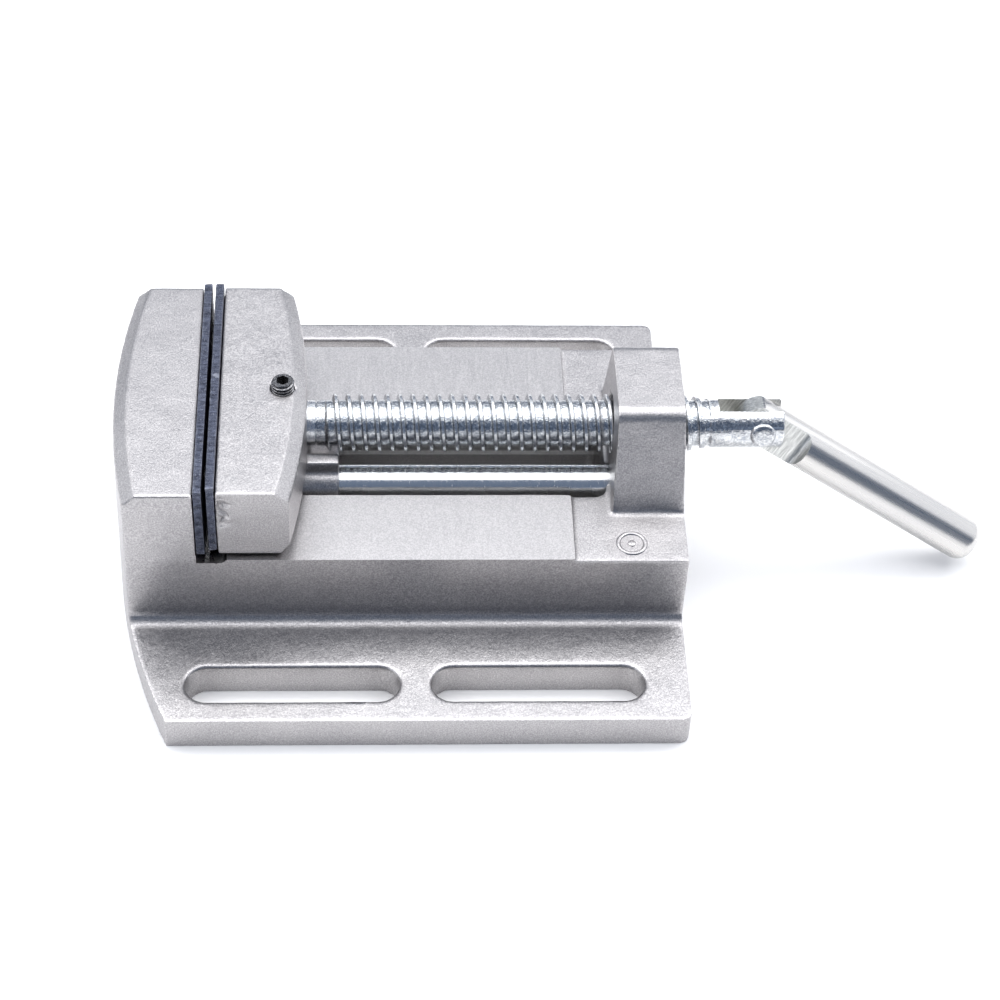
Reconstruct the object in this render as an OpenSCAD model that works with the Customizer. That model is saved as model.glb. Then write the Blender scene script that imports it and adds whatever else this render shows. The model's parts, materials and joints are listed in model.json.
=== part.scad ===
// Low-profile drill press vise: a slotted cast aluminium base with a fixed jaw and a tail
// block, a moving jaw on two guide rods, and a lead screw with a swinging bar handle.
// The origin is the middle of the four mounting slots, on the underside of the base.
// +X runs along the screw towards the handle, +Y across the jaws, +Z up.

/* [Base] */
// Half of the base's width across its flanges
base_half_w = 60.5; // [59:0.5:62]
// Thickness of the flanges
flange_t = 8.5; // [7.5:0.5:9.5]
// X of the flat end below the tail block
base_end_x = 58.5; // [58:0.5:60]
// Radius of the curved end, in plan
end_r = 150; // [140:5:170]
// Half of the body's width above the flanges
body_half_w = 32.5; // [32:0.5:34]
// Height of the machined way under the moving jaw
way_z = 27.8; // [27:0.2:28.4]
// How far the rough ledge at the tail lies below the way
ledge_drop = 0.5; // [0.2:0.1:0.8]
// Half of the width of the channel between the ways
channel_half_w = 13.7; // [13.5:0.1:14.5]

/* [Mounting slots] */
// Slot length, end to end
slot_l = 45.4; // [40:0.2:46]
// Slot width
slot_w = 9.2; // [8:0.2:10]
// Distance between slot centres along X
slot_pitch_x = 52.4; // [51:0.2:53]
// Distance between slot centres along Y
slot_pitch_y = 100.8; // [99:0.2:102]
// Chamfer round the top of each slot
slot_chamfer = 0.5; // [0.2:0.1:0.8]

/* [Jaws] */
// Width of the jaws
jaw_w = 63.5; // [62:0.5:65]
// Height of the fixed jaw's top above the table
jaw_top_z = 46.8; // [46.8:0.2:48]
// Thickness of each jaw casting at its middle
jaw_t = 18.7; // [17:0.1:20]
// Chamfer along the back of each jaw's top, in height
jaw_chamfer = 2.5; // [1.5:0.5:3.5]
// Gap between the two jaw plates at rest
jaw_gap = 0.6; // [0.6:0.1:3]
// Thickness of each jaw plate
plate_t = 2; // [1.8:0.1:2.4]
// Height of each jaw plate
plate_h = 19.3; // [18.8:0.1:19.3]

/* [Guide rods] */
// Diameter of each guide rod
rod_d = 8; // [7.6:0.1:8]
// Distance between the two rods
rod_pitch = 14; // [14:0.1:15]
// Height of the rods' axes
rod_z = 24.6; // [24:0.1:24.6]

/* [Lead screw] */
// Height of the screw's axis
screw_z = 36.2; // [36:0.1:36.6]
// Diameter over the thread's crests
thread_d = 12.7; // [12:0.1:12.8]
// Diameter of the plain end that turns in the moving jaw
journal_d = 9.9; // [9.4:0.1:10]
// X of the start of the fork behind the thread
fork_x = 64.6; // [63:0.2:65]

/* [Handle] */
// Diameter of the fork
fork_d = 10.6; // [10.4:0.1:11.2]
// Diameter of the handle bar
handle_d = 10; // [8.8:0.1:10.2]
// Length of the handle from its pivot
handle_l = 60; // [55:1:61]
// Width of the slot in the fork
fork_slot_w = 5.5; // [5:0.1:5.6]
// Droop of the handle below the screw's line, in degrees
handle_droop = 32.5; // [0:0.5:33]
// Turn of the fork's pin away from level, in degrees
fork_roll = 14.6; // [0:0.2:20]

/* [Hidden] */

$fn = 96;
round_fn = 360;
eps = 0.5;

// Colours
cast_colour = [0.74, 0.74, 0.77];
plate_colour = [0.16, 0.16, 0.18];
bright_colour = [0.82, 0.83, 0.82];
black_colour = [0.10, 0.10, 0.11];

// Clearances
rod_clear = 0.05;
journal_clear = 0.05;
thread_clear = 0.08;
pin_clear = 0.05;
tongue_clear = 0.1;

// Fixed jaw: the plate's working face, the casting's face behind it, and the curved back
fixed_face_x = -44.5;
fixed_back_x = fixed_face_x - plate_t;
crown_x = fixed_back_x - jaw_t;
end_centre_x = crown_x + end_r;
end_draft = 0.5;
plate_rise = 1.2;
jaw_chamfer_w = 1.2 * jaw_chamfer;

// Base blank: it starts past the curved end, which is cut from it
blank_start_x = crown_x - 2;
flange_corner_r = 2;

// Moving jaw
moving_face_x = fixed_face_x + jaw_gap;
moving_front_x = moving_face_x + plate_t;
moving_back_x = moving_front_x + jaw_t;
moving_half_w = jaw_w / 2 - 0.35;
moving_low_z = way_z + 0.7;
moving_top_z = jaw_top_z + 0.4;
moving_plate_rise = 1.5;
jaw_foot_in = 2;
jaw_foot_rise = 3;

// Carriage under the moving jaw, which slides on the rods inside the channel
carriage_start_x = moving_front_x;
carriage_end_x = moving_back_x + 6.8;
carriage_half_w = 9.2;
carriage_top_z = 33;
carriage_boss_r = 5.7;
carriage_trough_r = 7;

// Tail block
tail_start_x = 42.7;
tail_top_z = 50;
tail_foot_half_w = 18.8;
tail_top_half_w = 10.6;
tail_root_z = way_z - 2;
tail_round = 3;
tail_draft = 0.4;

// Channel, relief groove and hollows under the base
channel_start_x = fixed_face_x - 0.5;
channel_end_x = 41.7;
channel_round = 2.5;
groove_end_x = fixed_face_x + 4.5;
groove_depth = 1;
ledge_x = 34;
foot_fillet = 2.7;
hollow_round = 2;
hollow_y = 18;
hollow_w = 10;
hollow_h = 22;
hollow_starts = [-36, -4, 28];
hollow_l = 27;
jaw_hollow_x = -60.5;
jaw_hollow_w = 10;
jaw_hollow_l = 50;
jaw_hollow_h = 17;
tail_hollow_l = 9;
tail_hollow_w = 30;
tail_hollow_h = 14;

// Guide rods
rod_r = rod_d / 2;
rod_start_x = fixed_back_x - 12;
rod_end_x = base_end_x - 2;
lock_x = 50;
lock_r = 2.5;
lock_l = 6;
lock_socket = 2.5;

// Lead screw
journal_r = journal_d / 2;
thread_r = thread_d / 2;
journal_start_x = moving_front_x + 3.7;
journal_bore_x = journal_start_x - 0.5;
thread_start_x = moving_back_x + 3.6;
shoulder_x = moving_back_x + 1.6;
shoulder_groove_w = 0.4;
shoulder_groove_r = journal_r - 0.4;
retainer_x = moving_back_x - 5.2;
retainer_groove_w = 4.2;
retainer_groove_r = 3.6;

// Fork, pin and handle
fork_r = fork_d / 2;
fork_end_x = 80.7;
pin_x = 75.9;
slot_start_x = 66.4;
pin_r = 2;
ear_flat = fork_r - 0.15;
ear_flat_start_x = 69;
head_r = 2.8;
head_top_r = 2.1;
head_h = 0.9;
tongue_half_t = fork_slot_w / 2 - tongue_clear;
tongue_cut_x = 8.9;
shoulder_r = 2.3;
handle_r = handle_d / 2;
handle_lift = 0.4;
tongue_end_r = handle_r + handle_lift;
handle_round = 3.2;

// Fasteners
plate_screw_y = 20;
plate_screw_z = 39;
plate_screw_r = 2;
plate_screw_head_r = 3.8;
plate_screw_head_h = 1.8;
plate_screw_l = 11;
plate_screw_socket = 1.25;
plate_screw_socket_depth = 1.5;
retainer_r = 2.5;
retainer_rise = 2;
retainer_tip_r = 1.75;
retainer_tip_gap = 0.3;
retainer_tip_l = 2;
retainer_socket = 1.25;
socket_depth = 2.5;

// ---------- shared shapes ----------

// A cylinder that runs along +X from x0 to x1
module rod_x(x0, x1, r) {
    translate([x0, 0, 0]) rotate([0, 90, 0]) cylinder(r = r, h = x1 - x0);
}

// The ring to cut for a groove round a rod along +X, from the rod's radius r down to groove_r
module ring_groove(x, w, r, groove_r) {
    difference() {
        rod_x(x, x + w, r + eps);
        rod_x(x - eps, x + w + eps, groove_r);
    }
}

// A hexagonal prism along +Z, given the distance from its axis to a flat
module hexagon(to_flat, h) {
    cylinder(r = to_flat / cos(30), h = h, $fn = 6);
}

// Points along an arc
function arc(cx, cy, r, a0, a1, n = 8) =
    [for (i = [0:n]) [cx + r * cos(a0 + (a1 - a0) * i / n), cy + r * sin(a0 + (a1 - a0) * i / n)]];

// A plate with rounded corners, from its low corner
module rounded_plate(l, w, h, r) {
    translate([r, 0, 0]) cube([l - 2 * r, w, h]);
    translate([0, r, 0]) cube([l, w - 2 * r, h]);
    for (x = [r, l - r], y = [r, w - r]) translate([x, y, 0]) cylinder(r = r, h = h);
}

// A slot with round ends through the flange, chamfered at the top
module mounting_slot() {
    r = slot_w / 2;
    reach = slot_l / 2 - r;
    translate([-reach, -r, -eps]) cube([2 * reach, slot_w, flange_t + 2 * eps]);
    for (side = [-1, 1]) translate([side * reach, 0, 0]) {
        translate([0, 0, -eps]) cylinder(r = r, h = flange_t + 2 * eps);
        translate([0, 0, flange_t - slot_chamfer])
            cylinder(r1 = r, r2 = r + 2 * slot_chamfer, h = 2 * slot_chamfer);
    }
    translate([-reach, 0, flange_t - slot_chamfer]) rotate([90, 0, 90])
        linear_extrude(2 * reach) polygon([
            [-r, 0], [r, 0],
            [r + 2 * slot_chamfer, 2 * slot_chamfer], [-r - 2 * slot_chamfer, 2 * slot_chamfer]
        ]);
}

// Both guide rods' places
module at_rods() {
    for (side = [-1, 1]) translate([0, side * rod_pitch / 2, rod_z]) children();
}

// The two plate screws' places on a jaw face at x; the heads look along +X when facing is 1
module at_plate_screws(x, facing) {
    for (side = [-1, 1]) translate([x, side * plate_screw_y, plate_screw_z])
        rotate([0, facing * 90, 0]) children();
}

// A countersunk screw whose head is flush with z = 0, pointing down
module plate_screw_body(socket = true) {
    difference() {
        union() {
            translate([0, 0, -plate_screw_l]) cylinder(r = plate_screw_r, h = plate_screw_l);
            translate([0, 0, -plate_screw_head_h])
                cylinder(r1 = plate_screw_r, r2 = plate_screw_head_r, h = plate_screw_head_h);
        }
        if (socket) translate([0, 0, -plate_screw_socket_depth])
            hexagon(plate_screw_socket, plate_screw_socket_depth + eps);
    }
}

// The fork's own frame: origin on the pin, X along the screw, Y along the pin
module fork_frame() {
    translate([pin_x, 0, screw_z]) rotate([-fork_roll, 0, 0]) children();
}

// ---------- base ----------

// Solid of revolution that bounds the base's curved end and the fixed jaw's back
module end_envelope() {
    low_z = jaw_top_z - jaw_chamfer;
    translate([end_centre_x, 0, 0]) rotate_extrude($fn = round_fn) polygon([
        [0, 0], [end_r + end_draft, 0], [end_r - end_draft, low_z],
        [end_r - end_draft - jaw_chamfer_w, jaw_top_z], [0, jaw_top_z]
    ]);
}

// Flange outline with its two rounded corners at the tail end
module flange_blank() {
    corner_x = base_end_x - flange_corner_r;
    corner_y = base_half_w - flange_corner_r;
    linear_extrude(flange_t) polygon(concat(
        [[blank_start_x, base_half_w], [blank_start_x, -base_half_w]],
        arc(corner_x, -corner_y, flange_corner_r, -90, 0),
        arc(corner_x, corner_y, flange_corner_r, 0, 90)
    ));
}

// Fillets where the body's side walls meet the flanges
module foot_fillets() {
    length = base_end_x - blank_start_x;
    for (side = [0, 1]) mirror([0, side, 0])
        translate([blank_start_x, body_half_w, flange_t]) difference() {
            translate([0, -eps, -eps]) cube([length, foot_fillet + eps, foot_fillet + eps]);
            translate([-eps, foot_fillet, foot_fillet]) rotate([0, 90, 0])
                cylinder(r = foot_fillet, h = length + 2 * eps);
        }
}

// Body and fixed jaw, before the curved end is cut
module body_blank() {
    translate([blank_start_x, -body_half_w, 0])
        cube([base_end_x - blank_start_x, 2 * body_half_w, way_z]);
    translate([blank_start_x, 0, 0]) rotate([90, 0, 90])
        linear_extrude(fixed_back_x - blank_start_x) polygon([
            [-body_half_w, way_z - eps], [body_half_w, way_z - eps],
            [jaw_w / 2, jaw_top_z + eps], [-jaw_w / 2, jaw_top_z + eps]
        ]);
}

// Tail block: sloping sides with rounded shoulders, and a little draft on its ends
module tail_block() {
    slope = atan2(tail_foot_half_w - tail_top_half_w, tail_top_z - way_z);
    shoulder_y = tail_top_half_w - tail_round * tan(45 - slope / 2);
    shoulder_z = tail_top_z - tail_round;
    intersection() {
        translate([tail_start_x - eps, 0, 0]) rotate([90, 0, 90])
            linear_extrude(base_end_x - tail_start_x + 2 * eps) polygon(concat(
                [[-tail_foot_half_w, tail_root_z], [tail_foot_half_w, tail_root_z]],
                [[tail_foot_half_w, way_z - ledge_drop]],
                arc(shoulder_y, shoulder_z, tail_round, slope, 90),
                arc(-shoulder_y, shoulder_z, tail_round, 90, 180 - slope),
                [[-tail_foot_half_w, way_z - ledge_drop]]
            ));
        translate([0, body_half_w, 0]) rotate([90, 0, 0]) linear_extrude(2 * body_half_w) polygon([
            [tail_start_x, tail_root_z], [base_end_x, tail_root_z],
            [base_end_x - 2 * tail_draft, tail_top_z + eps],
            [tail_start_x + tail_draft, tail_top_z + eps]
        ]);
    }
}

// Hollows cored into the underside
module base_hollows() {
    for (side = [0, 1], x = hollow_starts) mirror([0, side, 0])
        translate([x, hollow_y, -eps])
            rounded_plate(hollow_l, hollow_w, hollow_h + eps, hollow_round);
    translate([jaw_hollow_x, -jaw_hollow_l / 2, -eps])
        rounded_plate(jaw_hollow_w, jaw_hollow_l, jaw_hollow_h + eps, hollow_round);
    translate([lock_x - tail_hollow_l / 2, -tail_hollow_w / 2, -eps])
        rounded_plate(tail_hollow_l, tail_hollow_w, tail_hollow_h + eps, hollow_round);
}

module base_casting() {
    color(cast_colour) difference() {
        union() {
            difference() {
                intersection() {
                    union() {
                        flange_blank();
                        body_blank();
                        foot_fillets();
                    }
                    end_envelope();
                }
                translate([ledge_x, -body_half_w - eps, way_z - ledge_drop])
                    cube([base_end_x - ledge_x + eps, 2 * (body_half_w + eps), 2 * ledge_drop]);
            }
            tail_block();
        }
        for (x = [-1, 1], y = [-1, 1])
            translate([x * slot_pitch_x / 2, y * slot_pitch_y / 2, 0]) mounting_slot();
        translate([channel_start_x, -channel_half_w, -eps]) rounded_plate(
            channel_end_x - channel_start_x, 2 * channel_half_w, way_z + 2 * eps, channel_round);
        translate([0, body_half_w + eps, 0]) rotate([90, 0, 0])
            linear_extrude(2 * (body_half_w + eps)) polygon([
                [fixed_back_x, way_z + eps], [fixed_back_x, way_z - groove_depth],
                [groove_end_x - groove_depth, way_z - groove_depth], [groove_end_x + eps, way_z + eps]
            ]);
        base_hollows();
        translate([0, 0, screw_z])
            rod_x(tail_start_x - eps, base_end_x + eps, thread_r + thread_clear);
        at_rods() rod_x(rod_start_x, base_end_x + eps, rod_r);
        at_rods() translate([lock_x, 0, -rod_z + tail_hollow_h - eps])
            cylinder(r = lock_r, h = rod_z - tail_hollow_h);
        at_plate_screws(fixed_face_x, 1) plate_screw_body(false);
    }
}

// ---------- moving jaw ----------

module moving_jaw_blank() {
    intersection() {
        translate([moving_front_x, -moving_half_w, moving_low_z])
            cube([jaw_t + eps, 2 * moving_half_w, moving_top_z - moving_low_z]);
        translate([moving_back_x - end_r, 0, 0]) rotate_extrude($fn = round_fn) polygon([
            [0, moving_low_z - eps], [end_r - jaw_foot_in, moving_low_z - eps],
            [end_r - jaw_foot_in, moving_low_z], [end_r, moving_low_z + jaw_foot_rise],
            [end_r, moving_top_z - jaw_chamfer],
            [end_r - jaw_chamfer_w, moving_top_z], [0, moving_top_z]
        ]);
    }
}

// Carriage with a boss round each rod, hanging in the channel below the jaw
module carriage() {
    start_x = carriage_start_x;
    length = carriage_end_x - start_x;
    translate([start_x, -carriage_half_w, rod_z])
        cube([length, 2 * carriage_half_w, carriage_top_z - rod_z]);
    translate([start_x, -rod_pitch / 2, rod_z - carriage_boss_r])
        cube([length, rod_pitch, 2 * carriage_boss_r]);
    at_rods() rod_x(start_x, carriage_end_x, carriage_boss_r);
}

module moving_jaw() {
    color(cast_colour) difference() {
        union() {
            moving_jaw_blank();
            carriage();
        }
        at_rods() rod_x(carriage_start_x - eps, carriage_end_x + eps, rod_r + rod_clear);
        translate([0, 0, screw_z])
            rod_x(journal_bore_x, moving_back_x + eps, journal_r + journal_clear);
        translate([0, 0, screw_z])
            rod_x(moving_back_x, carriage_end_x + eps, carriage_trough_r);
        translate([retainer_x, 0, screw_z]) cylinder(r = retainer_r, h = moving_top_z);
        at_plate_screws(moving_face_x, -1) plate_screw_body(false);
    }
}

// ---------- jaw plates and their screws ----------

module fixed_jaw_plate() {
    color(plate_colour) difference() {
        translate([fixed_back_x, -jaw_w / 2, jaw_top_z + plate_rise - plate_h])
            cube([plate_t, jaw_w, plate_h]);
        at_plate_screws(fixed_face_x, 1) plate_screw_body(false);
    }
}

module moving_jaw_plate() {
    plate_half_w = moving_half_w - 0.2;
    color(plate_colour) difference() {
        translate([moving_face_x, -plate_half_w, moving_top_z + moving_plate_rise - plate_h])
            cube([plate_t, 2 * plate_half_w, plate_h]);
        at_plate_screws(moving_face_x, -1) plate_screw_body(false);
    }
}

module fixed_plate_screws() {
    color(black_colour) at_plate_screws(fixed_face_x, 1) plate_screw_body();
}

module moving_plate_screws() {
    color(black_colour) at_plate_screws(moving_face_x, -1) plate_screw_body();
}

// ---------- guide rods ----------

module guide_rod(side) {
    color(bright_colour) translate([0, side * rod_pitch / 2, rod_z]) rod_x(rod_start_x, rod_end_x, rod_r);
}

module front_guide_rod() {
    guide_rod(-1);
}

module rear_guide_rod() {
    guide_rod(1);
}

// Socket set screws that lock the rods from below
module rod_lock_screws() {
    color(black_colour) at_rods() translate([lock_x, 0, -rod_r - lock_l]) difference() {
        cylinder(r = lock_r, h = lock_l);
        translate([0, 0, -eps]) hexagon(lock_socket / 2, socket_depth + eps);
    }
}

// ---------- lead screw ----------

module lead_screw() {
    color(bright_colour) difference() {
        translate([0, 0, screw_z]) {
            rod_x(journal_start_x, thread_start_x, journal_r);
            rod_x(thread_start_x, fork_x, thread_r);
            rod_x(fork_x - eps, fork_end_x, fork_r);
        }
        translate([0, 0, screw_z]) {
            ring_groove(retainer_x - retainer_groove_w / 2, retainer_groove_w, journal_r, retainer_groove_r);
            ring_groove(shoulder_x, shoulder_groove_w, journal_r, shoulder_groove_r);
        }
        fork_frame() {
            translate([slot_start_x - pin_x, -fork_slot_w / 2, -fork_r - eps])
                cube([fork_end_x - slot_start_x + eps, fork_slot_w, 2 * (fork_r + eps)]);
            for (side = [0, 1]) mirror([0, side, 0])
                translate([ear_flat_start_x - pin_x, ear_flat, -fork_r])
                    cube([fork_end_x - ear_flat_start_x + eps, fork_r, 2 * fork_r]);
            rotate([90, 0, 0]) cylinder(r = pin_r, h = 2 * fork_d, center = true);
        }
    }
}

// Set screw in the top of the moving jaw; its plain tip rides in the screw's groove
module screw_retaining_screw() {
    tip_z = screw_z + retainer_groove_r + retainer_tip_gap;
    top_z = moving_top_z + retainer_rise;
    color(black_colour) translate([retainer_x, 0, 0]) difference() {
        union() {
            translate([0, 0, tip_z]) cylinder(r = retainer_tip_r, h = retainer_tip_l + eps);
            translate([0, 0, tip_z + retainer_tip_l])
                cylinder(r = retainer_r, h = top_z - tip_z - retainer_tip_l);
        }
        translate([0, 0, top_z - socket_depth]) hexagon(retainer_socket, socket_depth + eps);
    }
}

// ---------- handle ----------

module handle_pivot_pin() {
    color(bright_colour) fork_frame() rotate([90, 0, 0]) {
        cylinder(r = pin_r, h = 2 * ear_flat, center = true);
        for (side = [0, 1]) mirror([0, 0, side]) translate([0, 0, ear_flat])
            cylinder(r1 = head_r, r2 = head_top_r, h = head_h);
    }
}

// Bar along +X, a little above its pivot, with a tongue that is rounded about the pivot
module handle_bar() {
    difference() {
        translate([0, 0, handle_lift]) {
            rod_x(0, handle_l - handle_round, handle_r);
            translate([handle_l - handle_round, 0, 0]) rotate([0, 90, 0])
                rotate_extrude() polygon(concat(
                    [[0, 0]], arc(handle_r - handle_round, 0, handle_round, 0, 90), [[0, handle_round]]
                ));
            intersection() {
                rod_x(-tongue_end_r, eps, handle_r);
                translate([0, 0, -handle_lift]) rotate([90, 0, 0])
                    cylinder(r = tongue_end_r, h = handle_d, center = true);
            }
        }
        for (side = [0, 1]) mirror([0, side, 0]) translate([0, tongue_half_t, 0]) {
            translate([-tongue_end_r - eps, 0, -handle_d])
                cube([tongue_end_r + eps + tongue_cut_x, handle_d, 2 * handle_d]);
            translate([tongue_cut_x, shoulder_r, -handle_d]) cylinder(r = shoulder_r, h = 2 * handle_d);
        }
        rotate([90, 0, 0]) cylinder(r = pin_r + pin_clear, h = 2 * handle_d, center = true);
    }
}

module handle() {
    color(bright_colour) fork_frame() rotate([0, handle_droop, 0]) handle_bar();
}

base_casting();
moving_jaw();
fixed_jaw_plate();
moving_jaw_plate();
fixed_plate_screws();
moving_plate_screws();
front_guide_rod();
rear_guide_rod();
rod_lock_screws();
lead_screw();
screw_retaining_screw();
handle_pivot_pin();
handle();
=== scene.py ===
"""Looks for the low-profile drill press vise.

The CAD model is the frame. The castings are rounded and roughened copies of their CAD
solids with the machined faces cut afterwards, as the real ones are made. The jaw plates
are roughened copies too. The lead screw and its set screw get their real threads, and the
handle, pin and rods are turned in finer steps. The plates' and rods' hidden screws keep
their CAD shape. Metres throughout, in the CAD's frame: +X towards the handle, +Z up.
"""

import json
import math

import bmesh
import bpy
from mathutils import Matrix, Vector, noise


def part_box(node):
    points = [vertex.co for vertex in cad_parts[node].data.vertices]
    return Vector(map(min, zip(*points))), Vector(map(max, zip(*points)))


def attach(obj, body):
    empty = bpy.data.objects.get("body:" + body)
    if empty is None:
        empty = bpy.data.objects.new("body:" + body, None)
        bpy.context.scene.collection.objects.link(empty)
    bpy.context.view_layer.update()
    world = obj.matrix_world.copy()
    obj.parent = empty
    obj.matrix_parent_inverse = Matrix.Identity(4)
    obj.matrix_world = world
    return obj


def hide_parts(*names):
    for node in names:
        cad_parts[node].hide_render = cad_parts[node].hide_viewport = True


MM = 0.001
NEARLY = 0.01 * MM

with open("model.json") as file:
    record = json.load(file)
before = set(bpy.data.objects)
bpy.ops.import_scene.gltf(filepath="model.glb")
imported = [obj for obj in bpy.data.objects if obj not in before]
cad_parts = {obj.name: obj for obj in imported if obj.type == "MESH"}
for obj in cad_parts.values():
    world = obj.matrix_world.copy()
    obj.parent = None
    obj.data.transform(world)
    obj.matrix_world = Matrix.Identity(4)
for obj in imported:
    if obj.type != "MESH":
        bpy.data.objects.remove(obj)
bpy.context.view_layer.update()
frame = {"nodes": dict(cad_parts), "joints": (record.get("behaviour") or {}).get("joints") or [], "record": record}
scene = bpy.context.scene

# ---------- places and sizes ----------

# Read from the frame
base_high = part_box("base_casting")[1]
jaw_low, jaw_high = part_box("moving_jaw")
screw_low, screw_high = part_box("lead_screw")
rod_low, rod_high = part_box("front_guide_rod")
pin_low, pin_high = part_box("handle_pivot_pin")
grub_low, grub_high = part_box("screw_retaining_screw")
fixed_plate_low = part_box("fixed_jaw_plate")[0]
moving_plate_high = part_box("moving_jaw_plate")[1]

screw_z = (screw_low.z + screw_high.z) / 2
pin_x = (pin_low.x + pin_high.x) / 2
swing = next(j for j in frame["joints"] if j["name"] == "handle_swing")
pin_axis = Vector(swing["axis"]).normalized()
coupling = frame["record"]["behaviour"]["couplings"][0]
pitch = 2 * math.pi / coupling["ratio"]

# Base casting, as in the CAD
way_z = 27.8 * MM
ledge_drop = 0.5 * MM
ledge_x = 34 * MM
body_half_w = 32.5 * MM
channel_half_w = 13.7 * MM
groove_end_x = -40 * MM
groove_depth = 1 * MM
tail_start_x = 42.7 * MM
way_stock = 0.8 * MM
mark_x = 46.4 * MM
mark_y = -27.4 * MM

# Flaw in the moving jaw's near end, its start and end counted from the jaw's plate
flaw_start = 0.2 * MM
flaw_end = 2.8 * MM
flaw_low_z = 37 * MM
flaw_high_z = 46 * MM
flaw_depth = 0.8 * MM
flaw_grain = 0.8 * MM

# Lead screw
crest_r = (screw_high.z - screw_low.z) / 2
root_r = 5.02 * MM
journal_r = 4.95 * MM
bore_clear = 0.08 * MM
close_fit = 0.01 * MM
shoulder_x = -21.6 * MM
thread_start_x = -19.6 * MM
run_out_x = 58.5 * MM
fork_x = 64.6 * MM
fork_r = 5.3 * MM
fork_slot_x = 66.4 * MM
fork_slot_w = 5.5 * MM
ear_flat = 5.15 * MM
ear_flat_x = 69 * MM
retainer_groove_x = -28.4 * MM
retainer_groove_half_w = 2.1 * MM
retainer_groove_r = 3.6 * MM

# Handle and pin
handle_r = 5 * MM
handle_l = 60 * MM
handle_lift = 0.4 * MM
handle_droop = math.radians(32.5)
tongue_half_t = 2.65 * MM
tongue_end_r = handle_r + handle_lift
tongue_cut_x = 8.9 * MM
shoulder_r = 2.3 * MM
handle_round = 3.2 * MM
pin_r = 2 * MM
pin_head_r = 2.8 * MM
pin_head_h = 0.9 * MM
pin_clear = 0.05 * MM

fork_roll = math.atan2(-pin_axis.z, pin_axis.y)
fork_matrix = Matrix.Translation((pin_x, 0, screw_z)) @ Matrix.Rotation(-fork_roll, 4, "X")
bar_matrix = fork_matrix @ Matrix.Rotation(handle_droop, 4, "Y")
bar_turn = bar_matrix.to_3x3()


# ---------- mesh helpers ----------

def add_object(name, mesh):
    obj = bpy.data.objects.new(name, mesh)
    scene.collection.objects.link(obj)
    return obj


def mesh_from(name, points, faces):
    mesh = bpy.data.meshes.new(name)
    mesh.from_pydata([tuple(p) for p in points], [], faces)
    mesh.update()
    return add_object(name, mesh)


def tidy_mesh(obj, distance=1e-7):
    """Welds doubled points and points every face outwards."""
    bm = bmesh.new()
    bm.from_mesh(obj.data)
    bmesh.ops.remove_doubles(bm, verts=bm.verts, dist=distance)
    bmesh.ops.dissolve_degenerate(bm, edges=bm.edges, dist=distance)
    bmesh.ops.recalc_face_normals(bm, faces=bm.faces)
    bm.to_mesh(obj.data)
    bm.free()
    return obj


def bake(obj, kind, **settings):
    """Adds one modifier to obj and makes its result the mesh."""
    modifier = obj.modifiers.new(kind.lower(), kind)
    for key, value in settings.items():
        setattr(modifier, key, value)
    graph = bpy.context.evaluated_depsgraph_get()
    mesh = bpy.data.meshes.new_from_object(obj.evaluated_get(graph))
    obj.modifiers.clear()
    old = obj.data
    obj.data = mesh
    bpy.data.meshes.remove(old)


def combine(obj, tool, operation):
    """Applies the tool to obj and uses it up."""
    bake(obj, "BOOLEAN", object=tool, operation=operation, solver="MANIFOLD")
    bpy.data.objects.remove(tool)


def cut(obj, tool):
    combine(obj, tool, "DIFFERENCE")


def join(obj, tool):
    combine(obj, tool, "UNION")


def copy_of(node, name):
    """A copy of a CAD node's mesh, free to be reshaped."""
    obj = add_object(name, frame["nodes"][node].data.copy())
    obj.data.materials.clear()
    return tidy_mesh(obj)


def block(low, high):
    corners = [(x, y, z)
               for x in (low[0], high[0])
               for y in (low[1], high[1])
               for z in (low[2], high[2])]
    faces = [(0, 1, 3, 2), (4, 6, 7, 5), (0, 4, 5, 1), (2, 3, 7, 6), (0, 2, 6, 4), (1, 5, 7, 3)]
    return mesh_from("block", corners, faces)


def lathe(name, profile, steps=96):
    """A solid of revolution about the X axis, capped at its ends. profile lists (x, radius)."""
    points, faces = [], []
    for x, r in profile:
        for k in range(steps):
            angle = 2 * math.pi * k / steps
            points.append((x, r * math.cos(angle), r * math.sin(angle)))
    for i in range(len(profile) - 1):
        for k in range(steps):
            a, b = i * steps + k, i * steps + (k + 1) % steps
            faces.append((a, b, b + steps, a + steps))
    faces.append(tuple(reversed(range(steps))))
    last = (len(profile) - 1) * steps
    faces.append(tuple(range(last, last + steps)))
    return tidy_mesh(mesh_from(name, points, faces))


def prism(outline, depth):
    """An outline in the XZ plane, as (x, z), extruded by depth to each side along Y."""
    count = len(outline)
    points = [(x, side * depth, z) for side in (-1, 1) for x, z in outline]
    faces = [tuple(range(count)), tuple(reversed(range(count, 2 * count)))]
    faces += [(i, (i + 1) % count, count + (i + 1) % count, count + i) for i in range(count)]
    return tidy_mesh(mesh_from("prism", points, faces))


def place(obj, matrix):
    obj.data.transform(matrix)
    return obj


def arc(cx, cz, r, start, end, steps=12):
    """Points along an arc, angles in degrees."""
    angles = [math.radians(start + (end - start) * i / steps) for i in range(steps + 1)]
    return [(cx + r * math.cos(a), cz + r * math.sin(a)) for a in angles]


def finish_piece(obj, body, material, replaced=None, sharp=35):
    """Shades the piece, gives it a finish (None keeps its own), ties it to its body, and hides the CAD part it
    replaces.

    Edges of more than sharp degrees stay crisp."""
    obj.data.shade_smooth()
    obj.data.set_sharp_from_angle(angle=math.radians(sharp))
    if material:
        obj.data.materials.clear()
        obj.data.materials.append(material)
    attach(obj, body)
    if replaced:
        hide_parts(replaced)


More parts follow.
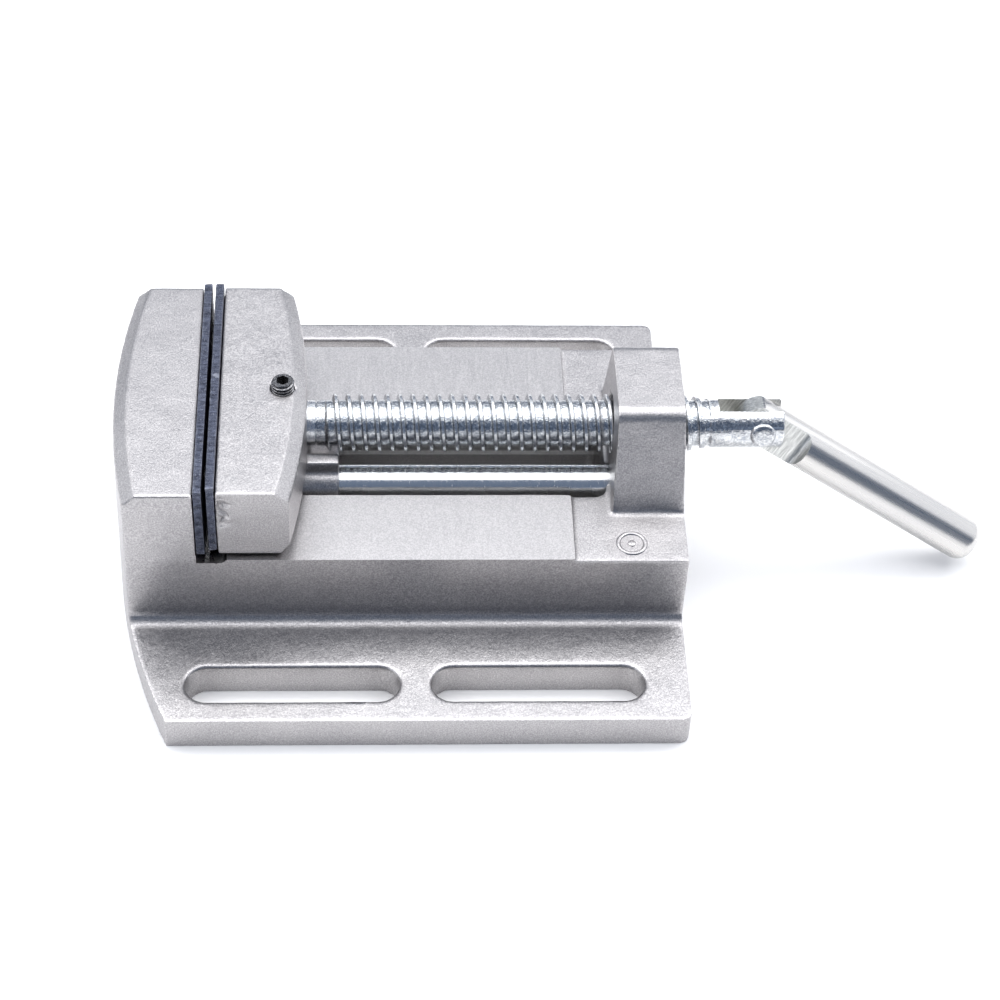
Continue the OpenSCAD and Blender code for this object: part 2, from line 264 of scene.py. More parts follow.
def thread(name, x0, x1, thread_pitch, profile, envelope, steps=72):
    """A right-hand thread on the X axis, closed at both ends.

    profile is one pitch as (share of the pitch, radius), and envelope(x) caps the radius.
    Each row of points follows the helix, so the crests stay crisp."""
    rows_per_turn = len(profile)
    turns = math.ceil((x1 - x0) / thread_pitch) + 3
    points, faces = [], []
    for i in range(turns * rows_per_turn + 1):
        share, radius = profile[i % rows_per_turn]
        along = x0 + (i // rows_per_turn - 2 + share) * thread_pitch
        for k in range(steps):
            angle = 2 * math.pi * k / steps
            x = min(max(along + k / steps * thread_pitch, x0), x1)
            r = min(radius, envelope(x))
            points.append((x, r * math.cos(angle), r * math.sin(angle)))
    for i in range((turns - 1) * rows_per_turn):
        for k in range(steps):
            a = i * steps + k
            b = a + 1 if k + 1 < steps else (i + rows_per_turn) * steps
            faces.append((a, b, b + steps, a + steps))
    obj = mesh_from(name, points, faces)
    weld = 0.001 * MM
    bm = bmesh.new()
    bm.from_mesh(obj.data)
    bmesh.ops.remove_doubles(bm, verts=bm.verts, dist=weld)
    bmesh.ops.dissolve_degenerate(bm, edges=bm.edges, dist=weld)
    loose = [v for v in bm.verts if not v.link_faces]
    bmesh.ops.delete(bm, geom=loose, context="VERTS")
    bmesh.ops.holes_fill(bm, edges=[e for e in bm.edges if e.is_boundary], sides=0)
    bmesh.ops.recalc_face_normals(bm, faces=bm.faces)
    bm.to_mesh(obj.data)
    bm.free()
    return obj


# ---------- materials ----------

class Shader:
    """A node material built up in readable steps, in the piece's own coordinates, in metres."""

    def __init__(self, name, metallic, roughness, colour):
        self.material = bpy.data.materials.new(name)
        self.material.use_nodes = True
        self.nodes = self.material.node_tree.nodes
        self.links = self.material.node_tree.links
        self.shader = self.nodes["Principled BSDF"]
        self.shader.inputs["Metallic"].default_value = metallic
        self.shader.inputs["Roughness"].default_value = roughness
        self.shader.inputs["Base Color"].default_value = (*colour, 1)
        self.place = self.nodes.new("ShaderNodeTexCoord").outputs["Object"]

    def stretched(self, scale, turn=Matrix.Identity(3)):
        """The coordinates, turned back by turn and multiplied by scale along each axis."""
        node = self.nodes.new("ShaderNodeMapping")
        node.vector_type = "TEXTURE"
        node.inputs["Rotation"].default_value = turn.to_euler()
        node.inputs["Scale"].default_value = [1 / share for share in scale]
        self.links.new(self.place, node.inputs["Vector"])
        return node.outputs["Vector"]

    def noise(self, size, detail=2.0, roughness=0.5, vector=None):
        """Noise whose features are about size metres across."""
        node = self.nodes.new("ShaderNodeTexNoise")
        node.inputs["Scale"].default_value = 1 / size
        node.inputs["Detail"].default_value = detail
        node.inputs["Roughness"].default_value = roughness
        self.links.new(vector or self.place, node.inputs["Vector"])
        return node.outputs["Fac"]

    def edges(self, low, high):
        """From 0 at low to 1 at high with how convex the mesh is: 0.5 is flat, more an edge."""
        geometry = self.nodes.new("ShaderNodeNewGeometry")
        return self.spread(geometry.outputs["Pointiness"], low, high)

    def spread(self, value, low, high, to_low=0.0, to_high=1.0):
        """Stretches value from low..high to to_low..to_high, and holds it there."""
        node = self.nodes.new("ShaderNodeMapRange")
        self.links.new(value, node.inputs["Value"])
        node.inputs["From Min"].default_value = low
        node.inputs["From Max"].default_value = high
        node.inputs["To Min"].default_value = to_low
        node.inputs["To Max"].default_value = to_high
        return node.outputs["Result"]

    def product(self, a, b):
        node = self.nodes.new("ShaderNodeMath")
        node.operation = "MULTIPLY"
        self.links.new(a, node.inputs[0])
        self.links.new(b, node.inputs[1])
        return node.outputs[0]

    def blend(self, share, a, b):
        """Colour a where share is 0 and b where it is 1.

        The node has several sockets of each name: 6, 7 and 2 are those for colours."""
        node = self.nodes.new("ShaderNodeMix")
        node.data_type = "RGBA"
        self.links.new(share, node.inputs["Factor"])
        for key, value in ((6, a), (7, b)):
            if isinstance(value, tuple):
                node.inputs[key].default_value = (*value, 1)
            else:
                self.links.new(value, node.inputs[key])
        return node.outputs[2]

    def bump(self, height, depth, strength):
        """Adds a bump of that depth in metres over what is there already."""
        node = self.nodes.new("ShaderNodeBump")
        node.inputs["Strength"].default_value = strength
        node.inputs["Distance"].default_value = depth
        self.links.new(height, node.inputs["Height"])
        normal = self.shader.inputs["Normal"]
        if normal.links:
            self.links.new(normal.links[0].from_socket, node.inputs["Normal"])
        self.links.new(node.outputs["Normal"], normal)

    def set(self, key, value):
        self.links.new(value, self.shader.inputs[key])


def cast_aluminium():
    """Sand-blasted casting: dense fine grain, light and dark, over slow changes of tone. Convex edges are lighter,
    partly worn metal and partly a painted highlight.
    """
    m = Shader("cast_aluminium", 1.0, 0.38, (0.41, 0.397, 0.4))
    grain = m.noise(0.32 * MM, 2, 0.6)
    lumps = m.noise(0.9 * MM, 3, 0.6)
    slow = m.noise(14 * MM, 3)
    tone = m.blend(m.spread(slow, 0.35, 0.65), (0.38, 0.368, 0.374), (0.415, 0.402, 0.406))
    tone = m.blend(m.spread(grain, 0.5, 0.64, 0.0, 0.45), tone, (0.66, 0.645, 0.64))
    tone = m.blend(m.spread(grain, 0.36, 0.48, 0.38, 0.0), tone, (0.2, 0.193, 0.2))
    # Lighter convex edges: partly worn metal, partly a painted highlight along the edges.
    worn_and_highlit_edges = m.edges(0.53, 0.57)
    m.set("Base Color", m.blend(worn_and_highlit_edges, tone, (0.46, 0.445, 0.445)))
    polish = m.product(m.spread(lumps, 0.3, 0.7, 0.32, 0.46), m.spread(worn_and_highlit_edges, 0, 1, 1, 0.5))
    in_corners = m.spread(m.edges(0.47, 0.495), 0, 1, 1.6, 1)
    m.set("Roughness", m.product(polish, in_corners))
    m.bump(lumps, 0.07 * MM, 0.6)
    m.bump(grain, 0.05 * MM, 0.7)
    return m.material


def machined_aluminium():
    """Face-milled aluminium: finer grain than the casting, with faint tool marks across it."""
    m = Shader("machined_aluminium", 1.0, 0.32, (0.45, 0.436, 0.436))
    marks = m.noise(0.3 * MM, 2, 0.5, m.stretched((1.0, 0.06, 1.0)))
    grain = m.noise(0.3 * MM, 2, 0.6)
    tone = m.blend(m.spread(grain, 0.4, 0.62), (0.4, 0.388, 0.39), (0.53, 0.514, 0.515))
    m.set("Base Color", tone)
    m.set("Roughness", m.spread(marks, 0.3, 0.7, 0.29, 0.38))
    m.bump(marks, 0.008 * MM, 0.4)
    m.bump(grain, 0.03 * MM, 0.6)
    return m.material


def zinc_plate():
    """Bright zinc over a rolled thread: shiny, but pebbled and a little stained, with painted shade in the
    thread's roots and a painted highlight along its crests.
    """
    m = Shader("zinc_plate", 1.0, 0.2, (0.58, 0.59, 0.6))
    pebbles = m.noise(0.55 * MM, 3, 0.65)
    fine = m.noise(0.2 * MM, 2)
    stain = m.noise(3 * MM, 3)
    tone = m.blend(m.spread(stain, 0.3, 0.7), (0.46, 0.47, 0.49), (0.56, 0.56, 0.555))
    # Painted shade: hollows such as the thread's roots take a bluish grey in place of the stained tone.
    tone = m.blend(m.edges(0.44, 0.52), (0.48, 0.5, 0.52), tone)
    tone = m.blend(m.spread(pebbles, 0.52, 0.66, 0.0, 0.8), tone, (0.92, 0.93, 0.93))
    tone = m.blend(m.spread(pebbles, 0.36, 0.49, 0.6, 0.0), tone, (0.25, 0.28, 0.33))
    # Painted highlight: the thread's crests and other sharp edges are made near white.
    m.set("Base Color", m.blend(m.edges(0.53, 0.6), tone, (0.88, 0.89, 0.9)))
    m.set("Roughness", m.spread(fine, 0.3, 0.7, 0.12, 0.26))
    m.bump(pebbles, 0.12 * MM, 0.8)
    m.bump(fine, 0.008 * MM, 0.5)
    return m.material


def polished_steel():
    """Handle bar: drawn and polished along its length, with faint lengthwise lines."""
    m = Shader("polished_steel", 1.0, 0.24, (0.56, 0.56, 0.55))
    lines = m.noise(0.5 * MM, 3, 0.6, m.stretched((0.02, 1.0, 1.0), bar_turn))
    stain = m.noise(5 * MM, 3, 0.5, m.stretched((0.2, 1.0, 1.0), bar_turn))
    tone = m.blend(m.spread(stain, 0.3, 0.7), (0.55, 0.54, 0.53), (0.59, 0.575, 0.555))
    m.set("Base Color", tone)
    m.set("Roughness", m.spread(lines, 0.3, 0.7, 0.24, 0.32))
    m.bump(lines, 0.004 * MM, 0.4)
    return m.material


def ground_steel():
    """Guide rods: bright ground bar with faint rings from the wheel."""
    m = Shader("ground_steel", 1.0, 0.2, (0.82, 0.83, 0.83))
    rings = m.noise(0.5 * MM, 3, 0.7, m.stretched((1.0, 0.25, 0.25)))
    m.set("Roughness", m.spread(rings, 0.3, 0.7, 0.14, 0.28))
    m.bump(rings, 0.012 * MM, 0.6)
    return m.material


def milled_steel():
    """The handle's cut tongue: bare steel, scored by the cutter."""
    m = Shader("milled_steel", 1.0, 0.36, (0.5, 0.5, 0.49))
    scores = m.noise(0.45 * MM, 3, 0.7, m.stretched((1.0, 1.0, 0.1), bar_turn))
    fine = m.noise(0.25 * MM, 2, 0.6)
    tone = m.blend(m.spread(scores, 0.38, 0.62), (0.48, 0.48, 0.46), (0.8, 0.8, 0.77))
    m.set("Base Color", m.blend(m.spread(fine, 0.3, 0.45, 0.5, 0.0), tone, (0.25, 0.25, 0.25)))
    m.set("Roughness", m.spread(fine, 0.3, 0.7, 0.3, 0.45))
    m.bump(scores, 0.05 * MM, 0.7)
    m.bump(fine, 0.02 * MM, 0.5)
    return m.material


def blackened_steel():
    """Jaw plates: blue-black oxide with a ragged grain, worn through to steel in places, with edges lighter,
    partly worn and partly a painted highlight.
    """
    m = Shader("blackened_steel", 0.9, 0.4, (0.03, 0.033, 0.045))
    ragged = m.noise(0.45 * MM, 4, 0.7, m.stretched((0.2, 1.0, 0.4)))
    fine = m.noise(0.22 * MM, 3, 0.6)
    dark = m.blend(m.spread(ragged, 0.35, 0.6), (0.014, 0.016, 0.028), (0.085, 0.095, 0.135))
    dark = m.blend(m.spread(fine, 0.56, 0.7, 0.0, 0.8), dark, (0.28, 0.3, 0.34))
    # Lighter edges: partly oxide worn through, partly a painted highlight.
    m.set("Base Color", m.blend(m.edges(0.52, 0.59), dark, (0.2, 0.21, 0.25)))
    m.set("Roughness", m.spread(fine, 0.3, 0.7, 0.3, 0.48))
    m.bump(ragged, 0.1 * MM, 0.7)
    m.bump(fine, 0.03 * MM, 0.6)
    return m.material


def black_fasteners():
    """Small screws: smooth black oxide with a slight mottle."""
    m = Shader("black_fasteners", 0.95, 0.24, (0.06, 0.06, 0.065))
    fine = m.noise(0.25 * MM, 2)
    tone = m.blend(m.spread(fine, 0.35, 0.75), (0.05, 0.05, 0.055), (0.3, 0.3, 0.31))
    m.set("Base Color", tone)
    m.set("Roughness", m.spread(fine, 0.3, 0.7, 0.18, 0.32))
    m.bump(fine, 0.01 * MM, 0.5)
    return m.material


cast_metal = cast_aluminium()
machined_metal = machined_aluminium()
zinc = zinc_plate()
polished = polished_steel()
milled = milled_steel()
ground = ground_steel()
blackened = blackened_steel()
black = black_fasteners()


# ---------- castings ----------

def unfold(obj, rounds=6, fold=math.radians(85)):
    """Relaxes the few triangles that thinning the mesh has folded over."""
    bm = bmesh.new()
    bm.from_mesh(obj.data)
    for _ in range(rounds):
        bm.normal_update()
        folded = [e for e in bm.edges if e.is_manifold and e.calc_face_angle() > fold]
        corners = list(dict.fromkeys(v for e in folded for v in e.verts))
        if not corners:
            break
        bmesh.ops.smooth_vert(bm, verts=corners, factor=0.6,
                              use_axis_x=True, use_axis_y=True, use_axis_z=True)
    bm.to_mesh(obj.data)
    bm.free()
    return obj


def rough_copy(node, name, stock, voxel, rounds, keep, wave=5 * MM, depth=0.12 * MM):
    """A CAD solid as it comes from the mould or saw: edges rounded, faces a little uneven.

    stock lists blocks left on for machining, rounds is how often the edges are smoothed, and keep
    is the share of the faces that stays. The waves in the faces are wave long and depth deep."""
    obj = copy_of(node, name)
    for low, high in stock:
        join(obj, block(low, high))
    bake(obj, "REMESH", mode="VOXEL", voxel_size=voxel)
    bake(obj, "SMOOTH", factor=0.5, iterations=rounds)
    waves = bpy.data.textures.new(name + "_waves", "CLOUDS")
    waves.noise_scale = wave
    bake(obj, "DISPLACE", texture=waves, strength=depth, mid_level=1.0)
    bake(obj, "DECIMATE", ratio=keep)
    return unfold(tidy_mesh(obj))


def two_finishes(obj, first, second, is_second):
    """Gives obj the first finish, and the second where is_second(face's middle, its normal)."""
    obj.data.materials.clear()
    obj.data.materials.append(first)
    obj.data.materials.append(second)
    for face in obj.data.polygons:
        face.material_index = 1 if is_second(face.center, face.normal) else 0


def rod_holes(x0, x1, radius):
    """Tools for the two guide rods' holes."""
    centre_y = (rod_low.y + rod_high.y) / 2
    centre_z = (rod_low.z + rod_high.z) / 2
    for side in (-1, 1):
        yield place(lathe("hole", [(x0, radius), (x1, radius)], 64),
                    Matrix.Translation((0, side * centre_y, centre_z)))


def base_piece():
    """The base, with its ways and relief groove milled and its screw and rod holes bored."""
    seat_x = fixed_plate_low.x
    stock_x = seat_x - MM
    stock_low = way_z - MM
    stock_high = way_z + way_stock
    stock = [((stock_x, -body_half_w, stock_low), (ledge_x, -channel_half_w, stock_high)),
             ((stock_x, channel_half_w, stock_low), (ledge_x, body_half_w, stock_high))]
    obj = rough_copy("base_casting", "base_body", stock, voxel=0.42 * MM, rounds=3, keep=0.22)
    far = 1.2 * base_high.y
    cut(obj, block((seat_x, -far, way_z), (ledge_x + 0.5 * MM, far, base_high.z)))
    groove = [(seat_x, way_z + MM), (seat_x, way_z - groove_depth),
              (groove_end_x - groove_depth, way_z - groove_depth), (groove_end_x + MM, way_z + MM)]
    cut(obj, prism(groove, far))
    bore_r = crest_r + bore_clear
    bore = lathe("bore", [(tail_start_x - MM, bore_r), (base_high.x + MM, bore_r)])
    cut(obj, place(bore, Matrix.Translation((0, 0, screw_z))))
    rod_r = (rod_high.z - rod_low.z) / 2
    for hole in rod_holes(rod_low.x, base_high.x + MM, rod_r + close_fit):
        cut(obj, hole)

    def on_way(middle, normal):
        return abs(middle.z - way_z) < NEARLY and normal.z > 0.99

    two_finishes(obj, cast_metal, machined_metal, on_way)
    finish_piece(obj, "base", None, "base_casting")


def pit_near_end(obj):
    """Pits a patch of the jaw's near end, where the metal did not quite fill the mould.

    The pits reach their full depth half a millimetre inside the patch."""
    x0 = moving_plate_high.x + flaw_start
    x1 = moving_plate_high.x + flaw_end
    z0, z1 = flaw_low_z, flaw_high_z
    for vertex in obj.data.vertices:
        point = vertex.co
        if point.y > jaw_low.y + flaw_depth or not (x0 < point.x < x1 and z0 < point.z < z1):
            continue
        inside = min(point.x - x0, x1 - point.x, point.z - z0, z1 - point.z) / MM
        ripple = noise.fractal(point / flaw_grain, 1.0, 2.0, 3)
        point.y += flaw_depth * min(1.0, 2 * inside) * max(0.0, 0.4 + 0.9 * ripple)


def moving_jaw_piece():
    """The jaw, with a shallow countersink in its top round the retaining screw."""
    obj = rough_copy("moving_jaw", "jaw_body", [], voxel=0.32 * MM, rounds=3, keep=0.3)
    pit_near_end(obj)
    centre_x = (grub_low.x + grub_high.x) / 2
    grub_r = (grub_high.x - grub_low.x) / 2
    top_z = jaw_high.z
    sink = lathe("sink", [(top_z - MM, grub_r - 0.6 * MM), (top_z + 0.6 * MM, grub_r + MM)], 64)
    stand_up = Matrix.Rotation(-math.pi / 2, 4, "Y")
    cut(obj, place(sink, Matrix.Translation((centre_x, 0, 0)) @ stand_up))

    def is_machined(middle, normal):
        on_underside = normal.z < -0.99 and middle.z > rod_high.z
        from_screw = math.hypot(middle.x - centre_x, middle.y)
        return on_underside or (middle.z > top_z - MM and from_screw < grub_r + 0.3 * MM)

    two_finishes(obj, cast_metal, machined_metal, is_machined)
    finish_piece(obj, "jaw", None, "moving_jaw")


def ledge_mark_piece():
    """A raised ring with a dot in its middle, cast on the ledge by the tail block."""
    ring_r = 2.9 * MM
    rib = 0.42 * MM
    raised = 0.28 * MM
    dot_r = 0.8 * MM
    sunk = -0.1 * MM
    steps = 64
    angles = [math.radians(180 - 20 * k) for k in range(10)]
    crown = [(ring_r + rib * math.cos(a), raised * math.sin(a)) for a in angles]
    ring = [(ring_r - 1.25 * rib, sunk)] + crown + [(ring_r + 1.25 * rib, sunk)]
    dot = [(dot_r, sunk), (dot_r, 0.5 * raised), (0.8 * dot_r, 0.9 * raised),
           (0.4 * dot_r, raised), (0.02 * dot_r, raised)]
    points, faces = [], []
    for section in (ring, dot):
        start, count = len(points), len(section)
        for k in range(steps):
            angle = 2 * math.pi * k / steps
            points += [(r * math.cos(angle), r * math.sin(angle), z) for r, z in section]
        for k in range(steps):
            a, b = start + k * count, start + (k + 1) % steps * count
            closed = count if section is ring else count - 1
            faces += [(a + i, b + i, b + (i + 1) % count, a + (i + 1) % count)
                      for i in range(closed)]
    obj = tidy_mesh(mesh_from("ledge_mark", points, faces))
    place(obj, Matrix.Translation((mark_x, mark_y, way_z - ledge_drop)))
    finish_piece(obj, "base", cast_metal)


# ---------- lead screw ----------

# One pitch of the thread, as (share of the pitch, share of the thread's depth)
THREAD_SHAPE = [
    (0.00, 0.0), (0.40, 0.0), (0.45, 0.06), (0.49, 0.42), (0.53, 0.78), (0.59, 0.95),
    (0.69, 1.0), (0.79, 0.95), (0.85, 0.78), (0.89, 0.42), (0.93, 0.06)
]


def thread_profile(root, crest):
    return [(share, root + height * (crest - root)) for share, height in THREAD_SHAPE]


def fork_solid(end_x):
    """The screw's forked end: a slot for the handle, a flat on each ear, and the pin's hole."""
    edge = 0.5 * MM
    far = 2 * fork_r
    profile = [(fork_x - MM, root_r - 0.3 * MM), (fork_x - 0.2 * MM, fork_r - 0.15 * MM),
               (fork_x + 0.3 * MM, fork_r)]
    rounding = ((0, 0), (0.3, 0.06), (0.7, 0.3), (1, 1))
    profile += [(end_x - edge + along * edge, fork_r - inward * edge) for along, inward in rounding]
    fork = lathe("fork", profile)
    local = Matrix.Rotation(-fork_roll, 4, "X")
    slot = block((fork_slot_x, -fork_slot_w / 2, -far), (end_x + MM, fork_slot_w / 2, far))
    cut(fork, place(slot, local))
    for side in (-1, 1):
        low, high = sorted((side * ear_flat, side * far))
        cut(fork, place(block((ear_flat_x, low, -far), (end_x + MM, high, far)), local))
    hole = lathe("hole", [(-far, pin_r + close_fit), (far, pin_r + close_fit)], 48)
    across = Matrix.Translation((pin_x, 0, 0)) @ local @ Matrix.Rotation(math.pi / 2, 4, "Z")
    cut(fork, place(hole, across))
    return fork


def lead_screw_piece():
    """The thread, the journal with the retaining screw's groove, and the fork, in one piece."""
    thread_end_x = fork_x + 0.1 * MM
    start_slope = 1.5
    fade_slope = 0.17
    end_slope = 1.2

    def envelope(x):
        """Rises at the thread's start, fades slowly past run_out_x, and ends at the fork."""
        start = root_r + max(0.0, x - thread_start_x - 0.2 * MM) * start_slope
        fading = crest_r - max(0.0, x - run_out_x) * fade_slope
        end = root_r + max(0.0, thread_end_x - x) * end_slope
        return min(start, fading, end, crest_r)

    obj = thread("lead_screw_body", thread_start_x, thread_end_x, pitch,
                 thread_profile(root_r, crest_r), envelope)
    chamfer = 0.6 * MM
    g0 = retainer_groove_x - retainer_groove_half_w
    g1 = retainer_groove_x + retainer_groove_half_w
    relief = 0.4 * MM
    journal = lathe("journal", [
        (screw_low.x, journal_r - chamfer), (screw_low.x + chamfer, journal_r),
        (g0, journal_r), (g0, retainer_groove_r), (g1, retainer_groove_r), (g1, journal_r),
        (shoulder_x, journal_r), (shoulder_x, journal_r - relief),
        (shoulder_x + relief, journal_r - relief), (shoulder_x + relief, journal_r),
        (thread_start_x + 0.5 * MM, journal_r)])
    join(obj, journal)
    join(obj, fork_solid(screw_high.x))
    place(obj, Matrix.Translation((0, 0, screw_z)))
    to_fork = fork_matrix.inverted()

    def in_slot(middle, normal):
        point = to_fork @ middle
        past_root = point.x > fork_slot_x - pin_x - NEARLY
        return past_root and abs(point.y) < fork_slot_w / 2 + NEARLY

    two_finishes(obj, zinc, milled, in_slot)
    finish_piece(obj, "screw", None, "lead_screw")


def pivot_pin_piece():
    """The cross pin, with both ends hammered over into low domes."""
    dome = ((0, 1), (0.3, 1), (0.55, 0.94), (0.8, 0.82), (0.93, 0.7), (1, 0.5), (1, 0.05))
    head = [(ear_flat + up * pin_head_h, out * pin_head_r) for up, out in dome]
    shank = [(-ear_flat, pin_r), (ear_flat, pin_r)]
    profile = [(-x, r) for x, r in reversed(head)] + shank + head
    obj = lathe("pivot_rivet", profile, 64)
    place(obj, fork_matrix @ Matrix.Rotation(math.pi / 2, 4, "Z"))
    finish_piece(obj, "screw", zinc, "handle_pivot_pin", sharp=50)


# ---------- handle ----------

def handle_piece():
    """A round bar with a flat tongue milled at the pin's end, its own axis along X at first."""
    rounding = arc(0, handle_r - handle_round, handle_round, 90, 2, 10)
    profile = [(-tongue_end_r, handle_r)] + [(handle_l - handle_round + x, r) for x, r in rounding]
    obj = place(lathe("handle_bar", profile), Matrix.Translation((0, 0, handle_lift)))
    far = 3 * handle_r
    beyond = [(-far, far)] + arc(0, 0, tongue_end_r, 90, 270, 48) + [(-far, -far)]
    cut(obj, prism(beyond, far))
    for side in (-1, 1):
        low, high = sorted((side * tongue_half_t, side * far))
        tool = block((-far, low, -far), (tongue_cut_x, high, far))
        corner = lathe("corner", [(-far, shoulder_r), (far, shoulder_r)], 64)
        place(corner, Matrix.Rotation(math.pi / 2, 4, "Y"))
        corner_y = side * (tongue_half_t + shoulder_r)
        join(tool, place(corner, Matrix.Translation((tongue_cut_x, corner_y, 0))))
        cut(obj, tool)
    hole = lathe("hole", [(-far, pin_r + pin_clear), (far, pin_r + pin_clear)], 48)
    cut(obj, place(hole, Matrix.Rotation(math.pi / 2, 4, "Z")))

    facet_depth = 0.06 * MM

    def is_milled(middle, normal):
        in_tongue = middle.x < tongue_cut_x + shoulder_r and abs(middle.y) < handle_r
        on_bar = abs(math.hypot(middle.y, middle.z - handle_lift) - handle_r) < facet_depth
        return in_tongue and max(abs(normal.x), abs(normal.y)) > 0.5 and not on_bar

    two_finishes(obj, polished, milled, is_milled)
    place(obj, bar_matrix)
    finish_piece(obj, "handle_arm", None, "handle")


# ---------- rods and screws ----------

def guide_rod_piece(node, name):
    low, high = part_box(node)
    radius = (high.z - low.z) / 2
    chamfer = 0.5 * MM
    obj = lathe(name, [(low.x, radius - chamfer), (low.x + chamfer, radius),
                       (high.x - chamfer, radius), (high.x, radius - chamfer)])
    place(obj, Matrix.Translation((0, (low.y + high.y) / 2, (low.z + high.z) / 2)))
    finish_piece(obj, "base", ground, node)


def retaining_screw_piece():
    """The set screw in the jaw's top, made lying along X from its tip, then stood up."""
    length = grub_high.z - grub_low.z
    radius = (grub_high.x - grub_low.x) / 2
    tip_l = 2 * MM
    tip_r = 1.75 * MM
    tip_edge = 0.2 * MM
    top_edge = 0.55 * MM
    fine_pitch = 0.8 * MM
    thread_depth = 0.45 * MM
    socket_depth = 2.5 * MM
    socket_r = 1.25 * MM / math.cos(math.pi / 6)

    def envelope(x):
        return min(radius, radius - top_edge + (length - x), tip_r + max(0.0, x - tip_l))

    obj = thread("retaining_screw", tip_edge, length, fine_pitch,
                 thread_profile(radius - thread_depth, radius), envelope, 48)
    join(obj, lathe("tip", [(0, tip_r - tip_edge), (tip_edge, tip_r), (tip_l, tip_r)], 48))
    cut(obj, lathe("socket", [(length - socket_depth, socket_r), (length + MM, socket_r)], 6))
    middle = (grub_low + grub_high) / 2
    stand_up = Matrix.Rotation(-math.pi / 2, 4, "Y")
    place(obj, Matrix.Translation((middle.x, middle.y, grub_low.z)) @ stand_up)
    finish_piece(obj, "jaw", black, "screw_retaining_screw", sharp=25)


def jaw_plate_piece(node, name, body):
    """A blackened plate whose sawn edges are left ragged."""
    obj = rough_copy(node, name, [], voxel=0.24 * MM, rounds=1, keep=0.4,
                     wave=0.8 * MM, depth=0.17 * MM)
    finish_piece(obj, body, blackened, node)


def dress(node, material):
    """A CAD node keeps its shape, with its edges broken, and gets its finish."""
    obj = frame["nodes"][node]
    for slot in obj.material_slots:
        slot.material = material
    if not obj.material_slots:
        obj.data.materials.append(material)
    weld = obj.modifiers.new("weld", "WELD")
    weld.merge_threshold = 0.001 * MM
    flat = obj.modifiers.new("flat", "DECIMATE")
    flat.decimate_type = "DISSOLVE"
    flat.angle_limit = math.radians(0.5)
    edge = obj.modifiers.new("edge", "BEVEL")
    edge.width = 0.08 * MM
    edge.segments = 2
    edge.limit_method = "ANGLE"
    edge.angle_limit = math.radians(40)


base_piece()
moving_jaw_piece()
ledge_mark_piece()
lead_screw_piece()
pivot_pin_piece()
handle_piece()
guide_rod_piece("front_guide_rod", "front_rod")
guide_rod_piece("rear_guide_rod", "rear_rod")
retaining_screw_piece()
jaw_plate_piece("fixed_jaw_plate", "fixed_plate", "base")
jaw_plate_piece("moving_jaw_plate", "moving_plate", "jaw")
for hidden in ("fixed_plate_screws", "moving_plate_screws", "rod_lock_screws"):
    dress(hidden, black)


# ---------- floor, lights and camera ----------

def floor():
    """A white table with a painted pool of light: its colour fades to dark grey well away from the vise, standing
    in for the light falling off.
    """
    half = 3
    middle = (0.03, 0.05, 0)
    bright_r = 0.22
    dark_r = 0.5
    corners = [(-half, -half, 0), (half, -half, 0), (half, half, 0), (-half, half, 0)]
    obj = mesh_from("floor", corners, [(0, 1, 2, 3)])
    near = (0.93, 0.922, 0.915)
    far = (0.3, 0.3, 0.31)
    m = Shader("white_table", 0.0, 0.9, near)
    m.shader.inputs["Specular IOR Level"].default_value = 0.1
    away = m.nodes.new("ShaderNodeVectorMath")
    away.operation = "DISTANCE"
    away.inputs[1].default_value = middle
    m.links.new(m.place, away.inputs[0])
    # Painted pool of light: near white by the vise, fading to dark grey between bright_r and dark_r.
    painted_falloff = m.spread(away.outputs["Value"], bright_r, dark_r)
    m.set("Base Color", m.blend(painted_falloff, near, far))
    obj.data.materials.append(m.material)


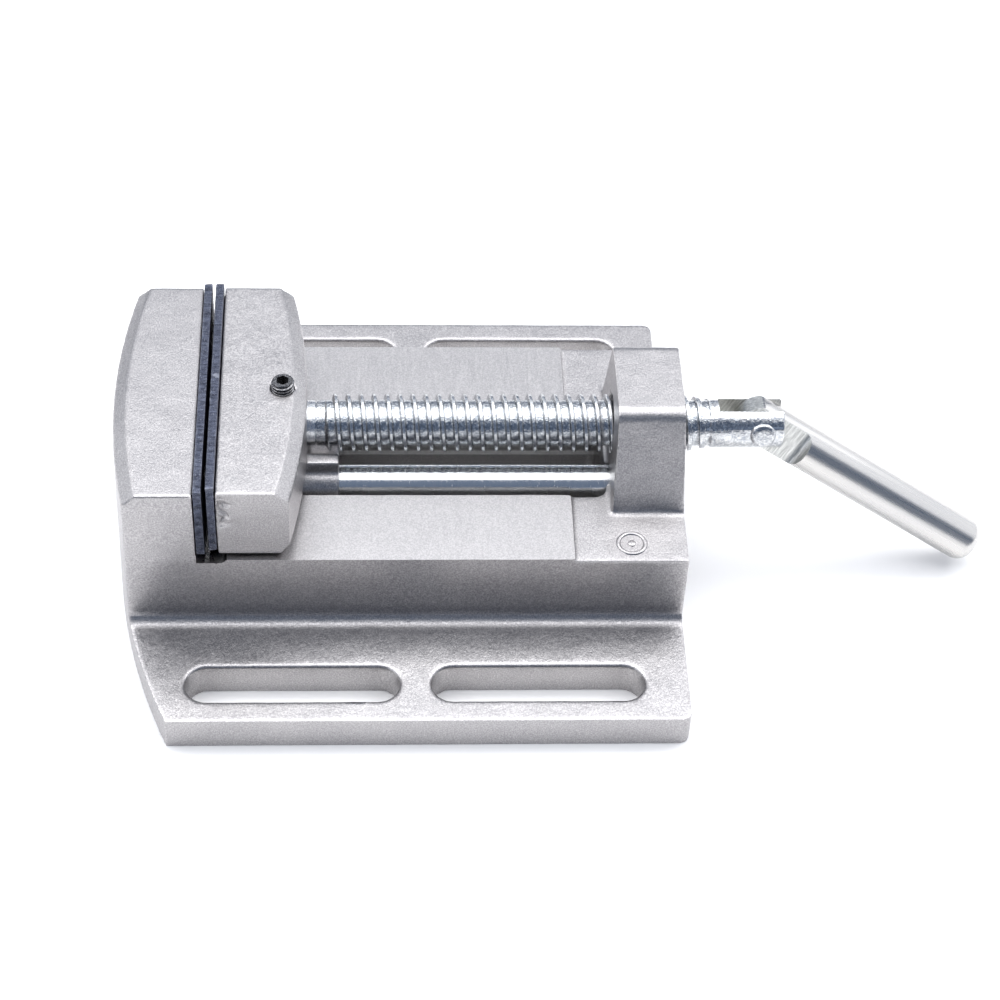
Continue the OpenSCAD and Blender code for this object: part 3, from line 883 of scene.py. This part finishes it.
def panel(name, bearing, height, size, brightness):
    """A soft box that faces the vise. size is its width and height in metres.

    bearing 0 is in front of the vise and 90 is beyond its handle. height is the angle above
    the table, and brightness is the same whatever the size."""
    distance = 1.2
    b = math.radians(bearing)
    h = math.radians(height)
    spot = distance * Vector((math.sin(b) * math.cos(h), -math.cos(b) * math.cos(h), math.sin(h)))
    light = bpy.data.lights.new(name, "AREA")
    light.shape = "RECTANGLE"
    light.size, light.size_y = size
    light.energy = math.pi * size[0] * size[1] * brightness
    obj = bpy.data.objects.new(name, light)
    obj.location = spot
    obj.rotation_euler = (-spot).to_track_quat("-Z", "Y").to_euler()
    scene.collection.objects.link(obj)


def lights():
    """A bright bank overhead and behind, paler boxes round the sides, and a dim room in front."""
    panel("bank_overhead", 180, 70, (2.6, 0.5), 4.8)
    panel("bank_behind", 180, 38, (2.6, 0.75), 0.72)
    panel("bank_above_camera", 0, 82, (2.6, 0.7), 2.5)
    panel("box_left", -90, 22, (2.0, 1.1), 1.1)
    panel("box_right", 108, 22, (1.8, 1.1), 1.1)
    world = bpy.data.worlds.new("studio")
    world.use_nodes = True
    background = world.node_tree.nodes["Background"]
    background.inputs["Color"].default_value = (0.7, 0.9, 1.3, 1)
    background.inputs["Strength"].default_value = 0.21
    scene.world = world


def camera():
    """Looks down at the screw from the front, a little off square. The lens is long."""
    focal_share = 2.6003
    position = Vector((-10.22, -397.47, 442.25)) * MM
    down = math.radians(47.233)
    yaw = math.radians(4.292)
    roll = math.radians(-3.121)
    data = bpy.data.cameras.new("camera")
    data.lens = focal_share * data.sensor_width
    data.clip_start = 0.01
    data.clip_end = 20
    obj = bpy.data.objects.new("camera", data)
    flat = math.cos(down)
    forward = Vector((math.sin(yaw) * flat, math.cos(yaw) * flat, -math.sin(down)))
    level = Vector((math.cos(yaw), -math.sin(yaw), 0))
    below = forward.cross(level)
    right = math.cos(roll) * level + math.sin(roll) * below
    up = math.sin(roll) * level - math.cos(roll) * below
    turn = Matrix((right, up, -forward)).transposed().to_4x4()
    obj.matrix_world = Matrix.Translation(position) @ turn
    scene.collection.objects.link(obj)
    scene.camera = obj


floor()
lights()
camera()
scene.view_settings.view_transform = "Standard"
